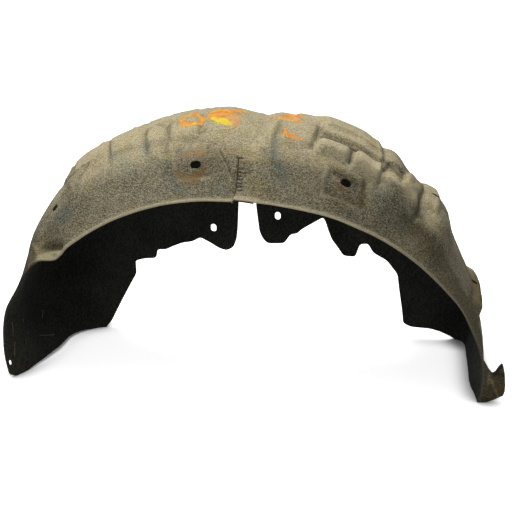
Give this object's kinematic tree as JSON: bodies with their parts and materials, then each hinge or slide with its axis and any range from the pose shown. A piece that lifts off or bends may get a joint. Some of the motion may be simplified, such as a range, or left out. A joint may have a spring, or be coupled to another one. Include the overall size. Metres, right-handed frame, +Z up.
{
  "type": "wheel arch liner",
  "caption": "Felt wheel arch liner: an embossed arched band with an outboard lip, an inboard wall with two tabs, a lapped dart, fixing slots and a fold-out ear.",
  "frame": {"origin": "middle of the footprint, on the floor that the two legs stand on", "axes": "+X along the car, +Y from the outboard lip to the inboard wall, +Z up"},
  "size_m": [0.7708, 0.2069, 0.4029],
  "materials": {
    "felt": "matte needled felt, dusty"
  },
  "bodies": {
    "root": {"arch_liner": "felt"}
  },
  "joints": []
}
